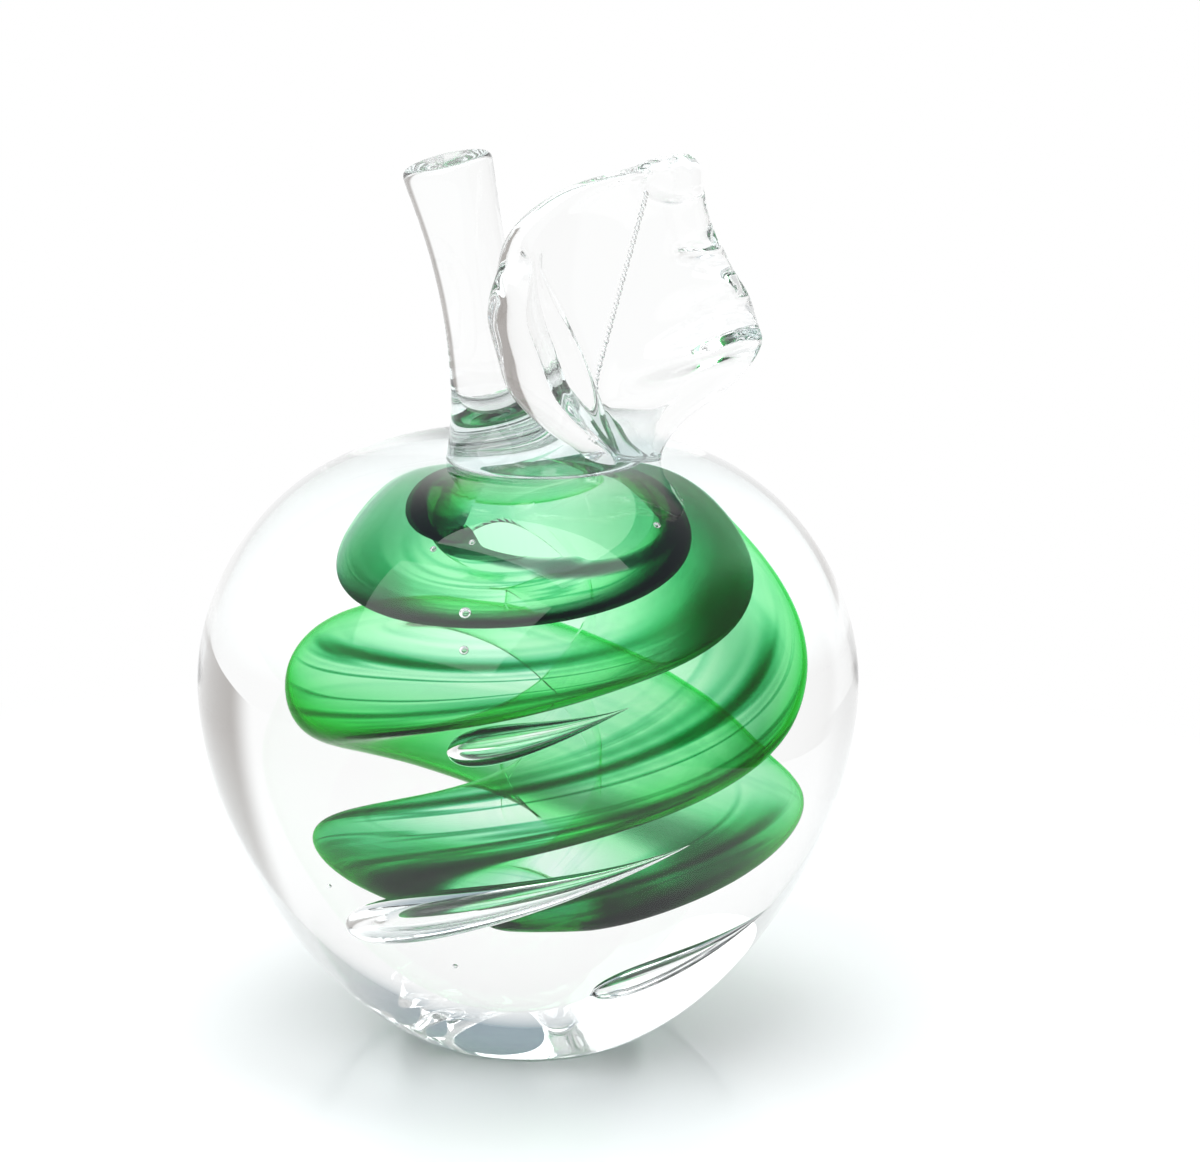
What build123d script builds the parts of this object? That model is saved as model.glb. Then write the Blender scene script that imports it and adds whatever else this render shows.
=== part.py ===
from build123d import *
import os
from math import cos, pi, radians, sin

os.makedirs("parts", exist_ok=True)

# An art glass apple of solid hot-worked glass, in millimetres. The origin is the middle of the
# flat base, Z is up, and the photographed front faces -Y with +X to the viewer's right.

# Outer body: flat ground base, broad shoulders, shallow dimple under the stalk.
BODY_RADIUS = 40.0
WIDEST_HEIGHT = 43.6
BASE_RADIUS = 14.7
BASE_ANGLE = 27.0
RIM_RADIUS = 14.7
RIM_HEIGHT = 71.5
DIMPLE_DEPTH = 1.2
BASE_PULL = 15.2
WAIST_PULL = 16.3
SHOULDER_PULL = 14.0

# Twisted middle: a barrel about its own upright axis, cut by two right-handed helical grooves.
# The groove's axial half widths go from its round floor out to beyond the barrel.
TWIST_X = 1.8
BARREL_RADIUS = 21.5
BARREL_HALF_HEIGHT = 19.5
BARREL_FULLNESS = 0.66
BARREL_MIDDLE = WIDEST_HEIGHT - 2.6
BARREL_TOP = BARREL_MIDDLE + BARREL_HALF_HEIGHT - 2.0
GROOVE_PITCH = 24.4
GROOVE_FLOOR = 4.0
GROOVE_ANGLE = -84.0
GROOVE_HEIGHT = BARREL_MIDDLE + 1.2
GROOVE_FLARE = [(7.0, 1.5), (14.0, 1.9), (20.5, 3.0), (24.5, 5.6)]
GROOVE_RUNOUT = 4.0
SKIN = 0.9

# Long bubbles that follow the twist: how far they lie beyond the side of the barrel, first and
# last angle, first and last height over the groove's middle, and thickness.
LONG_BUBBLES = [
    (-4.5, -124.0, -62.0, -2.0, 2.2, 1.8),
    (-1.3, -156.0, -46.0, -20.3, -10.9, 2.2),
    (0.5, -78.0, -12.0, -29.3, -21.0, 2.2),
]
BUBBLE_LEVELS = 10

# Round seeds: how far they lie beyond the side of the barrel, angle, height over the groove's
# middle, and thickness.
SEEDS = [
    (0.5, -112.0, 13.2, 1.3),
    (0.5, -112.0, 9.3, 1.0),
    (-3.5, -48.0, 20.7, 0.8),
    (-1.5, -126.0, 18.7, 0.7),
    (-1.5, -113.0, 20.5, 0.7),
    (0.5, -156.0, -16.6, 0.5),
    (-5.5, -123.0, -24.7, 0.6),
]

# Stalk: middle line, height over the rim, radius and lean to the left, from the foot upwards.
STALK = [
    (-1.5, -2.5, 8.3, 0.0),
    (-1.8, -0.1, 7.9, 2.0),
    (-2.7, 2.5, 6.0, 6.0),
    (-3.9, 6.5, 4.8, 8.0),
    (-5.0, 13.5, 4.4, 8.0),
    (-6.1, 20.0, 4.4, 10.0),
    (-7.6, 26.5, 4.6, 12.0),
    (-9.1, 33.0, 5.2, 13.0),
    (-9.8, 36.0, 5.4, 13.0),
]
STALK_TOP_FILLET = 1.8

# Leaf: height over the rim, left edge, right edge, how far the left margin, the midrib and the
# right margin stand forward, and the thickness of the left margin.
LEAF = [
    (-2.5, 7.6, 15.8, 2.0, 1.8, 1.6, 4.4),
    (1.0, 6.0, 16.0, 3.2, 2.0, 1.6, 4.8),
    (4.5, 1.4, 18.6, 5.4, 2.2, 1.6, 5.4),
    (9.5, -2.2, 24.6, 7.8, 2.4, 2.6, 5.6),
    (14.5, -3.6, 27.6, 8.6, 2.6, 3.2, 5.4),
    (19.5, -4.4, 26.2, 8.6, 2.8, 3.0, 5.0),
    (24.5, -3.3, 23.3, 8.0, 3.0, 2.6, 4.6),
    (29.5, -0.3, 21.2, 6.6, 3.2, 2.4, 4.2),
    (33.0, 6.2, 20.5, 5.0, 3.3, 2.4, 3.8),
    (35.7, 12.0, 20.1, 4.0, 3.3, 2.4, 3.6),
    (36.8, 14.6, 19.4, 3.4, 3.0, 2.6, 2.4),
]
PANE = 3.4
RIGHT_MARGIN = 4.0


def barrel_outline(inset):
    """Half outline of the barrel that the grooves are cut into, drawn in by an even inset."""
    radius = BARREL_RADIUS - inset
    half_height = BARREL_HALF_HEIGHT - inset
    bottom = (TWIST_X, BARREL_MIDDLE - half_height)
    side = (TWIST_X + radius, BARREL_MIDDLE)
    top = (TWIST_X, BARREL_MIDDLE + half_height)
    along = TWIST_X + BARREL_FULLNESS * radius
    rise = BARREL_FULLNESS * half_height
    with BuildSketch(Plane.XZ) as outline:
        with BuildLine():
            Bezier(bottom, (along, bottom[1]), (side[0], BARREL_MIDDLE - rise), side)
            Bezier(side, (side[0], BARREL_MIDDLE + rise), (along, top[1]), top)
            Line(top, bottom)
        make_face()
    return outline.sketch


def groove_start(side):
    """Where a groove starts under the barrel: its place, the way out and the way round."""
    height = BARREL_MIDDLE - BARREL_HALF_HEIGHT - GROOVE_RUNOUT
    turn = radians(GROOVE_ANGLE + 180.0 * side) + 2.0 * pi * (height - GROOVE_HEIGHT) / GROOVE_PITCH
    return (TWIST_X, 0, height), (cos(turn), sin(turn), 0), (-sin(turn), cos(turn), 0)


def groove_path(side):
    """The helix that one of the two grooves follows."""
    place, outward, around = groove_start(side)
    with BuildLine(Plane(origin=place, x_dir=outward, z_dir=(0, 0, 1))) as path:
        Helix(GROOVE_PITCH, 2.0 * (BARREL_HALF_HEIGHT + GROOVE_RUNOUT), 0.5 * BARREL_RADIUS)
    return path.line


def groove_outline(side, inset):
    """Axial cut of a groove, widened by the inset on both sides and at its floor."""
    place, outward, around = groove_start(side)
    upper = [(reach, width + inset) for reach, width in GROOVE_FLARE]
    lower = [(reach, -width) for reach, width in upper]
    points = lower[::-1] + [(GROOVE_FLOOR - inset, 0)] + upper
    with BuildSketch(Plane(origin=place, x_dir=outward, z_dir=around)) as outline:
        with BuildLine():
            Spline(*points)
            Line(points[-1], points[0])
        make_face()
    return outline.sketch


def long_bubble(beyond, first_angle, last_angle, first_height, last_height, thickness):
    """Round cuts along a long bubble that tapers to both ends."""
    sections = []
    reach = BARREL_RADIUS + beyond
    swing = radians(last_angle - first_angle)
    rise = last_height - first_height
    for step in range(BUBBLE_LEVELS + 1):
        share = step / BUBBLE_LEVELS
        turn = radians(first_angle) + swing * share
        height = GROOVE_HEIGHT + first_height + rise * share
        place = (TWIST_X + reach * cos(turn), reach * sin(turn), height)
        heading = (-reach * sin(turn) * swing, reach * cos(turn) * swing, rise)
        with BuildSketch(Plane(origin=place, x_dir=(cos(turn), sin(turn), 0), z_dir=heading)) as section:
            Circle(0.5 * thickness * sin(pi * (0.05 + 0.9 * share)))
        sections.append(section.sketch)
    return sections


def stalk_sections():
    """Round cuts square to the leaning middle line of the stalk."""
    sections = []
    for x, height, radius, lean in STALK:
        slope = radians(lean)
        across = (cos(slope), 0, sin(slope))
        upward = (-sin(slope), 0, cos(slope))
        with BuildSketch(Plane(origin=(x, 0, RIM_HEIGHT + height), x_dir=across, z_dir=upward)) as section:
            Circle(radius)
        sections.append(section.sketch)
    return sections


def leaf_sections():
    """Level cuts of the cupped leaf: a curved front and back joined by round margins."""
    sections = []
    for height, left, right, left_out, middle_out, right_out, margin in LEAF:
        middle = 0.5 * (left + right)
        right_margin = min(RIGHT_MARGIN, margin)
        pane = min(PANE, margin)
        left_front = (left + 0.5 * margin, -left_out - 0.5 * margin)
        left_back = (left + 0.5 * margin, -left_out + 0.5 * margin)
        right_front = (right - 0.5 * right_margin, -right_out - 0.5 * right_margin)
        right_back = (right - 0.5 * right_margin, -right_out + 0.5 * right_margin)
        with BuildSketch(Plane.XY.offset(RIM_HEIGHT + height)) as section:
            with BuildLine():
                Spline(left_front, (middle, -middle_out - 0.5 * pane), right_front)
                ThreePointArc(right_front, (right, -right_out), right_back)
                Spline(right_back, (middle, -middle_out + 0.5 * pane), left_back)
                ThreePointArc(left_back, (left, -left_out), left_front)
            make_face()
        sections.append(section.sketch)
    return sections


# The plain apple, before anything is let into it.
with BuildPart() as apple:
    with BuildSketch(Plane.XZ):
        with BuildLine():
            base_slope = radians(BASE_ANGLE)
            base_edge = (BASE_RADIUS, 0)
            base_pull = (BASE_RADIUS + BASE_PULL * cos(base_slope), BASE_PULL * sin(base_slope))
            waist_pull = (BODY_RADIUS, WIDEST_HEIGHT - WAIST_PULL)
            widest = (BODY_RADIUS, WIDEST_HEIGHT)
            shoulder_pull = (BODY_RADIUS, WIDEST_HEIGHT + SHOULDER_PULL)
            rim_pull = (RIM_RADIUS + SHOULDER_PULL, RIM_HEIGHT)
            rim = (RIM_RADIUS, RIM_HEIGHT)
            floor = (0, RIM_HEIGHT - DIMPLE_DEPTH)
            Line((0, 0), base_edge)
            Bezier(base_edge, base_pull, waist_pull, widest)
            Bezier(widest, shoulder_pull, rim_pull, rim)
            Bezier(rim, (0.6 * RIM_RADIUS, rim[1]), (0.4 * RIM_RADIUS, floor[1]), floor)
            Line(floor, (0, 0))
        make_face()
    revolve(axis=Axis.Z)

# The whole twisted bar, and the colourless core inside its green skin. Both are level at the
# top, where the bar left the iron, so the skin is open there and the core meets the casing.
with BuildPart() as twisted_bar:
    revolve(barrel_outline(0.0), axis=Axis((TWIST_X, 0, 0), (0, 0, 1)))
    for side in range(2):
        sweep(groove_outline(side, 0.0), path=groove_path(side), is_frenet=True, mode=Mode.SUBTRACT)
    split(bisect_by=Plane.XY.offset(BARREL_TOP), keep=Keep.BOTTOM)

with BuildPart() as clear_core:
    revolve(barrel_outline(SKIN), axis=Axis((TWIST_X, 0, 0), (0, 0, 1)))
    for side in range(2):
        sweep(groove_outline(side, SKIN), path=groove_path(side), is_frenet=True, mode=Mode.SUBTRACT)
    split(bisect_by=Plane.XY.offset(BARREL_TOP), keep=Keep.BOTTOM)

with BuildPart() as green_overlay:
    add(twisted_bar.part)
    add(clear_core.part, mode=Mode.SUBTRACT)

# The clear casing flows round the twist and traps its bubbles.
with BuildPart() as clear_casing:
    add(apple.part)
    add(twisted_bar.part, mode=Mode.SUBTRACT)
    for bubble in LONG_BUBBLES:
        loft(long_bubble(*bubble), mode=Mode.SUBTRACT)
    for beyond, angle, height, thickness in SEEDS:
        reach = BARREL_RADIUS + beyond
        turn = radians(angle)
        with Locations((TWIST_X + reach * cos(turn), reach * sin(turn), GROOVE_HEIGHT + height)):
            Sphere(0.5 * thickness, mode=Mode.SUBTRACT)

# The stalk stands in the dimple, so its foot takes the shape of the apple.
with BuildPart() as stem:
    loft(stalk_sections())
    fillet(stem.edges().sort_by(Axis.Z)[-1], STALK_TOP_FILLET)
    add(apple.part, mode=Mode.SUBTRACT)

# The leaf is stuck to the apple and against the foot of the stalk.
with BuildPart() as leaf:
    loft(leaf_sections())
    add(apple.part, mode=Mode.SUBTRACT)
    add(stem.part, mode=Mode.SUBTRACT)

clear_casing.part.label = "clear_casing"
export_step(clear_casing.part, "parts/clear_casing.step")
green_overlay.part.label = "green_overlay"
export_step(green_overlay.part, "parts/green_overlay.step")
clear_core.part.label = "clear_core"
export_step(clear_core.part, "parts/clear_core.step")
stem.part.label = "stem"
export_step(stem.part, "parts/stem.step")
leaf.part.label = "leaf"
export_step(leaf.part, "parts/leaf.step")

for piece in (clear_casing, green_overlay, clear_core, stem, leaf):
    print(piece.part.label, round(piece.part.volume, 1), "mm3 in", len(piece.part.solids()), "solid")
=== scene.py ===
# %% [markdown]
# # A glass apple with a green twist
# This lesson dresses a CAD model of an art glass apple: a thick clear body with a green twist and air
# bubbles cased inside it, a leaning clear stalk and a pressed clear leaf. The CAD nodes give the place and
# the size of everything. Each one is then remodelled here, because glass shows every facet of a mesh.

# %% Load the frame
from math import atan2, cos, exp, pi, radians, sin

import bmesh
import bpy
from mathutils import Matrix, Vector


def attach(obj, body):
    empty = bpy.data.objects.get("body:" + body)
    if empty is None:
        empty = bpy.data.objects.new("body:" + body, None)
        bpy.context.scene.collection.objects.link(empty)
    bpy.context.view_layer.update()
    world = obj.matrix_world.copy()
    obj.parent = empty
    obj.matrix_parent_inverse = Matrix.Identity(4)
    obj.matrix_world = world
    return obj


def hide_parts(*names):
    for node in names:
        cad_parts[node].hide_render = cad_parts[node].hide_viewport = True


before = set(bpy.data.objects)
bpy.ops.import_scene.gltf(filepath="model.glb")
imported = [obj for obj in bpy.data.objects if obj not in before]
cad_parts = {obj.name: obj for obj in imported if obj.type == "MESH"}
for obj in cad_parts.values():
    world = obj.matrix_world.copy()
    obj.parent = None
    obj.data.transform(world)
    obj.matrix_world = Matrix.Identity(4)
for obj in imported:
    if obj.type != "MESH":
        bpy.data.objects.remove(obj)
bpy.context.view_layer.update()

MM = 0.001
print("CAD nodes:", sorted(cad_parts))

# %% [markdown]
# A few small helpers do what a hand does all the time in Blender. Two drop the selection and pick vertices
# by their place. Three start a ring, pull it on by an extrude and close it to a point, which is how most
# pieces grow here, because glass is drawn out in much the same way. Two bake a modifier into the mesh and
# finish a closed shell.

# %% Hand tools
# Points that are closer than this, in metres, count as one place.
NEAR = 1e-6


def clear_hands():
    """Object mode, and nothing selected."""
    if bpy.context.object and bpy.context.object.mode != "OBJECT":
        bpy.ops.object.mode_set(mode="OBJECT")
    bpy.ops.object.select_all(action="DESELECT")


def pick(test):
    """Selects in edit mode the vertices whose place passes the test."""
    shell = bmesh.from_edit_mesh(bpy.context.object.data)
    bpy.ops.mesh.select_mode(type="VERT")
    for vertex in shell.verts:
        vertex.select_set(bool(test(vertex.co)))
    shell.select_flush(True)
    bmesh.update_edit_mesh(bpy.context.object.data)


# %% Rings that are pulled
def add_ring(points, radius, height, x=0.0):
    """A new object that starts as one ring of vertices, left in edit mode with the ring selected."""
    clear_hands()
    bpy.ops.mesh.primitive_circle_add(vertices=points, radius=radius, location=(0, 0, 0))
    bpy.ops.object.mode_set(mode="EDIT")
    bpy.ops.transform.translate(value=(x, 0, height))
    return bpy.context.object


def pull_ring(place, ratio, step, turn=0.0):
    """Extrudes the selected ring by a step, then widens and turns the new ring about its place."""
    bpy.ops.mesh.extrude_region_move(TRANSFORM_OT_translate={"value": step})
    if ratio != 1.0:
        bpy.ops.transform.resize(value=(ratio, ratio, ratio), center_override=place)
    if turn:
        bpy.ops.transform.rotate(value=turn, orient_axis="Z", center_override=place)


def close_ring():
    """Closes the selected ring to a point."""
    bpy.ops.mesh.merge(type="CENTER")


# %% Finish a shell
def bake_in(piece, kind, **settings):
    """Gives the active piece a modifier with these settings and applies it."""
    modifier = piece.modifiers.new(kind.lower(), kind)
    for key, value in settings.items():
        setattr(modifier, key, value)
    bpy.ops.object.modifier_apply(modifier=modifier.name)


def finish_shell(piece, name, rounds, inside_out=False):
    """Merges doubles, turns the faces outwards and smooths the piece by rounds of subdivision."""
    bpy.ops.object.mode_set(mode="EDIT")
    bpy.ops.mesh.select_all(action="SELECT")
    bpy.ops.mesh.remove_doubles(threshold=NEAR)
    bpy.ops.mesh.normals_make_consistent(inside=inside_out)
    bpy.ops.object.mode_set(mode="OBJECT")
    piece.name = name
    piece.data.name = name
    if rounds:
        bake_in(piece, "SUBSURF", levels=rounds, render_levels=rounds)
    bpy.ops.object.shade_smooth()
    return piece


# %% [markdown]
# The body is a gather of clear glass shaped in a wet block, so it is round about its axis. It could be a
# scaled ball, but the photo's outline is not an ellipse: the shoulders are broad and the foot is small. So
# one ring is pulled up along the outline, as a lathe would turn it. The outline is three smooth pulls: from
# the ground base to the waist, over the shoulder to the rim, and down into the dimple.

# %% The outline of the body
BODY_RADIUS = 40.0
WIDEST_HEIGHT = 43.6
BASE_RADIUS = 14.7
BASE_ANGLE = radians(27.0)
RIM_RADIUS = 14.7
RIM_HEIGHT = 71.5
DIMPLE_DEPTH = 1.2
DIMPLE_FLOOR = RIM_HEIGHT - DIMPLE_DEPTH
BASE_PULL = 15.2
WAIST_PULL = 16.3
SHOULDER_PULL = 14.0
RIM_PULL, DIMPLE_PULL = 0.6 * RIM_RADIUS, 0.4 * RIM_RADIUS
GROUND_EDGE = (0.25, 0.1)
POLE_RADIUS = 0.4
SIDE_RINGS, SHOULDER_RINGS, DIMPLE_RINGS = 24, 20, 9


def pulled(first, pull_a, pull_b, last, count):
    """Points along a curve between two ends, drawn by two pulls."""
    points = []
    for step in range(1, count + 1):
        t = step / count
        weights = ((1 - t) ** 3, 3 * t * (1 - t) ** 2, 3 * t * t * (1 - t), t**3)
        corners = (first, pull_a, pull_b, last)
        points.append(tuple(sum(w * c[k] for w, c in zip(weights, corners)) for k in range(2)))
    return points


outline = [(BASE_RADIUS, 0.0), (BASE_RADIUS + GROUND_EDGE[0], GROUND_EDGE[1])]
outline += pulled(
    (BASE_RADIUS, 0.0),
    (BASE_RADIUS + BASE_PULL * cos(BASE_ANGLE), BASE_PULL * sin(BASE_ANGLE)),
    (BODY_RADIUS, WIDEST_HEIGHT - WAIST_PULL),
    (BODY_RADIUS, WIDEST_HEIGHT),
    SIDE_RINGS,
)
outline += pulled(
    (BODY_RADIUS, WIDEST_HEIGHT),
    (BODY_RADIUS, WIDEST_HEIGHT + SHOULDER_PULL),
    (RIM_RADIUS + SHOULDER_PULL, RIM_HEIGHT),
    (RIM_RADIUS, RIM_HEIGHT),
    SHOULDER_RINGS,
)
outline += pulled(
    (RIM_RADIUS, RIM_HEIGHT),
    (RIM_PULL, RIM_HEIGHT),
    (DIMPLE_PULL, DIMPLE_FLOOR),
    (POLE_RADIUS, DIMPLE_FLOOR),
    DIMPLE_RINGS,
)
print("outline of", len(outline), "rings, up to", max(height for radius, height in outline), "mm")

# %% Turn the body
BODY_POINTS = 64
BASE_RINGS = (14.4, 13.0, 9.0, 5.0, 1.5)
body = add_ring(BODY_POINTS, BASE_RADIUS * MM, 0.0)
before = outline[0]
for radius, height in outline[1:]:
    pull_ring((0, 0, height * MM), radius / before[0], (0, 0, (height - before[1]) * MM))
    before = (radius, height)
close_ring()
pick(lambda at: at.z < NEAR)
before = BASE_RADIUS
for radius in BASE_RINGS:
    pull_ring((0, 0, 0), radius / before, (0, 0, 0))
    before = radius
close_ring()
finish_shell(body, "apple_body", 2)
print("body", len(body.data.polygons), "faces")

# %% [markdown]
# Air is trapped where the clear glass closed over the grooves of the twist: long bubbles that follow the
# twist, and a few round seeds. In a glass body a bubble is a hole, so each one is a small closed shell with
# its faces turned inwards, joined to the body. The long ones are rings bridged along a rising arc, fat near
# the lower end and drawn out to a needle at the other.

# %% Places of the air
TWIST_X = 1.8
BARREL_RADIUS = 21.5
GROOVE_HEIGHT = 42.2
# Long bubbles: distance beyond the barrel of the twist, first and last angle, first and last height over
# the middle of the groove, and thickness.
LONG_BUBBLES = [
    (-4.5, -124.0, -62.0, -2.0, 2.2, 3.4),
    (-1.3, -157.0, -46.0, -21.8, -10.9, 6.0),
    (0.5, -78.0, -12.0, -29.3, -21.0, 4.4),
]
# Seeds: distance beyond the barrel, angle, height over the middle of the groove, and thickness.
SEEDS = [
    (0.5, -112.0, 13.2, 1.3),
    (0.5, -112.0, 9.3, 1.0),
    (-3.5, -48.0, 20.7, 0.8),
    (-1.5, -126.0, 18.7, 0.7),
    (-1.5, -113.0, 20.5, 0.7),
    (0.5, -156.0, -16.6, 0.5),
    (-5.5, -123.0, -24.7, 0.6),
]


def between(first, last, share):
    """The value at a share of the way from the first to the last."""
    return first + (last - first) * share


def place_round(beyond, angle, height):
    """A place beside the twist, from its distance, angle and height over the groove's middle."""
    reach = BARREL_RADIUS + beyond
    turn = radians(angle)
    return Vector((TWIST_X + reach * cos(turn), reach * sin(turn), GROOVE_HEIGHT + height)) * MM


# %% Shells of air
BUBBLE_POINTS = 16
BUBBLE_RINGS = 18
FAT_END = 0.5
TAPER = 1.2
NEEDLE = 0.02
LOOK_AHEAD = 0.01
TIP_REACH = 0.1


def long_bubble(beyond, first, last, low, high, thickness):
    """A closed spindle of air along a rising arc, in an object that starts empty at the origin."""

    def along(share):
        return place_round(beyond, between(first, last, share), between(low, high, share))

    clear_hands()
    bpy.ops.mesh.primitive_circle_add(vertices=BUBBLE_POINTS, radius=MM)
    bubble = bpy.context.object
    bpy.ops.object.mode_set(mode="EDIT")
    bpy.ops.mesh.delete(type="VERT")
    for step in range(BUBBLE_RINGS + 1):
        share = step / BUBBLE_RINGS
        here = along(share)
        turn = (along(share + LOOK_AHEAD) - here).to_track_quat("Z", "Y").to_euler()
        girth = 0.5 * thickness * max(sin(pi * share**FAT_END), NEEDLE) ** TAPER
        bpy.ops.mesh.primitive_circle_add(
            vertices=BUBBLE_POINTS, radius=girth * MM, location=here, rotation=turn
        )
    bpy.ops.mesh.select_all(action="SELECT")
    bpy.ops.mesh.bridge_edge_loops()
    for end in (0.0, 1.0):
        tip = along(end)
        pick(lambda at: (at - tip).length < TIP_REACH * MM)
        close_ring()
    return finish_shell(bubble, "bubble", 1, inside_out=True)


def air_ball(name, place, radius, squash, detail):
    """A closed ball of air, squashed a little as it was when the hot glass was pressed."""
    clear_hands()
    bpy.ops.mesh.primitive_ico_sphere_add(subdivisions=detail, radius=radius * MM)
    ball = bpy.context.object
    bpy.ops.object.mode_set(mode="EDIT")
    bpy.ops.transform.resize(value=squash)
    bpy.ops.transform.translate(value=place)
    return finish_shell(ball, name, 0, inside_out=True)


def join_air(piece, pockets):
    """Joins shells of air to the piece in which they are holes."""
    clear_hands()
    for pocket in pockets:
        pocket.select_set(True)
    piece.select_set(True)
    bpy.context.view_layer.objects.active = piece
    bpy.ops.object.join()
    print(piece.name, "with", len(pockets), "air pockets,", len(piece.data.polygons), "faces")


# %% Bubbles and seeds
SEED_SQUASH = (1.0, 1.0, 0.88)
air = [long_bubble(*sizes) for sizes in LONG_BUBBLES]
for beyond, angle, height, thickness in SEEDS:
    air.append(air_ball("seed", place_round(beyond, angle, height), 0.5 * thickness, SEED_SQUASH, 3))
join_air(body, air)

# %% [markdown]
# The twist is a gather rolled in green, then turned while two long tools press a groove into each side. So a
# round barrel is pulled up ring by ring and each ring is turned a little further, which makes the mesh lines
# climb like the grooves. Near the top, where the glass was hottest, the same twist takes less than half the
# height, so the lobes become thin discs there. The grooves are then pressed in.

# %% The barrel of the twist
BARREL_MIDDLE = 41.0
BARREL_BELOW, BARREL_ABOVE = 19.5, 18.5
BARREL_TOP = 56.4
FOOT_POWER, CROWN_POWER = 2.5, 2.0
GROOVE_PITCH = 27.0
GROOVE_ANGLE = -87.0
TOP_PITCH = 12.0
TIGHT_HEIGHT = 47.0
TIGHT_EASE = 1.0
TWIST_POINTS = 120
TWIST_LEVELS = 88
FOOT_SHARE = 0.992
CROWDING = 0.6


def barrel(height):
    """Outer radius of the twist at a height."""
    if height > BARREL_MIDDLE:
        away, power = (height - BARREL_MIDDLE) / BARREL_ABOVE, CROWN_POWER
    else:
        away, power = (BARREL_MIDDLE - height) / BARREL_BELOW, FOOT_POWER
    return BARREL_RADIUS * (1.0 - away**power) ** (1.0 / power)


def turn_at(height):
    """How far round the grooves are at a height: a slow turn, and a faster one added near the top."""
    above = height - TIGHT_HEIGHT
    above = 0.5 * (above + (above * above + TIGHT_EASE**2) ** 0.5)
    slow = (height - GROOVE_HEIGHT) / GROOVE_PITCH
    return radians(GROOVE_ANGLE) + 2.0 * pi * (slow + above * (1.0 / TOP_PITCH - 1.0 / GROOVE_PITCH))


low = BARREL_MIDDLE - FOOT_SHARE * BARREL_BELOW
steps = [k / TWIST_LEVELS for k in range(TWIST_LEVELS + 1)]
heights = [between(low, BARREL_TOP, step ** (1.0 + CROWDING * (1.0 - step))) for step in steps]
twist = add_ring(TWIST_POINTS, barrel(low) * MM, low * MM, TWIST_X * MM)
before = low
for height in heights[1:]:
    centre = (TWIST_X * MM, 0, height * MM)
    ratio = barrel(height) / barrel(before)
    pull_ring(centre, ratio, (0, 0, (height - before) * MM), -(turn_at(height) - turn_at(before)))
    before = height
pick(lambda at: at.z < low * MM + NEAR)
close_ring()
finish_shell(twist, "green_twist", 0)
turns = (turn_at(BARREL_TOP) - turn_at(low)) / (2.0 * pi)
print("barrel", len(twist.data.polygons), "faces,", round(turns, 2), "turns")

# %% [markdown]
# A groove is a dip between two fat lobes, so each point of the barrel moves in towards the axis by a share
# that depends on how far past a groove it is. Points are first drawn together near the groove walls, where
# the shape turns fastest. The same pass weighs how thick the green skin will be: it ran thin on top of each
# lobe and down in the grooves, and it gathered on the under side.

# %% Press the grooves
GROOVE_SHARE = 0.34
GROOVE_FLOOR, SHALLOW_FLOOR = 0.19, 0.85
RUN_OUT = (51.0, 55.5)
ROUNDNESS = 7.0
BUNCHING = 0.36
SKIN_CHANGE = (46.0, 50.0)
OVER_LOBE, OVER_TOP_LOBE = 0.3, 0.05
UNDER_BEGINS, UNDER_TOP_BEGINS = -0.15, 0.12
UNDER_FULL, UNDER_TOP_FULL = 0.25, 0.35
IN_GROOVE = 0.15
GROOVE_WALL = (0.5, 0.95)


def eased(value, low, high):
    """From 0 at the low value to 1 at the high one, easing in and out."""
    share = min(max((value - low) / (high - low), 0.0), 1.0)
    return share * share * (3.0 - 2.0 * share)


def lobe_offset(past):
    """Place on a lobe, from -0.5 in the groove under it to 0.5 in the groove over it."""
    return 0.5 - (past / pi) % 1.0


def pressed(past, height):
    """Share of the barrel's radius left at an angle past a groove. The grooves run out at the top."""
    offset = lobe_offset(past) / (0.5 - 0.5 * GROOVE_SHARE)
    floor = between(GROOVE_FLOOR, SHALLOW_FLOOR, eased(height, *RUN_OUT))
    return between(floor, 1.0, max(0.0, 1.0 - offset * offset) ** (1.0 / ROUNDNESS))


def skin_share(past, share, height):
    """Share of the full skin at a place: least over a lobe and in a groove, most under a lobe."""
    top = eased(height, *SKIN_CHANGE)
    begins = between(UNDER_BEGINS, UNDER_TOP_BEGINS, top)
    full = between(UNDER_FULL, UNDER_TOP_FULL, top)
    under = eased(-lobe_offset(past), begins, full)
    on_lobe = between(between(OVER_LOBE, OVER_TOP_LOBE, top), 1.0, under)
    return on_lobe * between(IN_GROOVE, 1.0, eased(share, *GROOVE_WALL))


thick = twist.vertex_groups.new(name="thick")
for vertex in twist.data.vertices:
    height = vertex.co.z / MM
    reach = Vector((vertex.co.x - TWIST_X * MM, vertex.co.y)).length
    past = atan2(vertex.co.y, vertex.co.x - TWIST_X * MM) - turn_at(height)
    past -= BUNCHING * sin(2.0 * past)
    share = pressed(past, height)
    vertex.co.x = TWIST_X * MM + reach * share * cos(past + turn_at(height))
    vertex.co.y = reach * share * sin(past + turn_at(height))
    thick.add([vertex.index], skin_share(past, share, height), "REPLACE")
print("grooves pressed into", len(twist.data.vertices), "points")

# %% [markdown]
# Only the skin of the twist is green, and it is open at the top, where the bar was cut from the iron. A wall
# grown inwards from the open shell gives both, and it follows the weights of the last step. One round of
# smoothing takes the last facets out of it.

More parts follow.
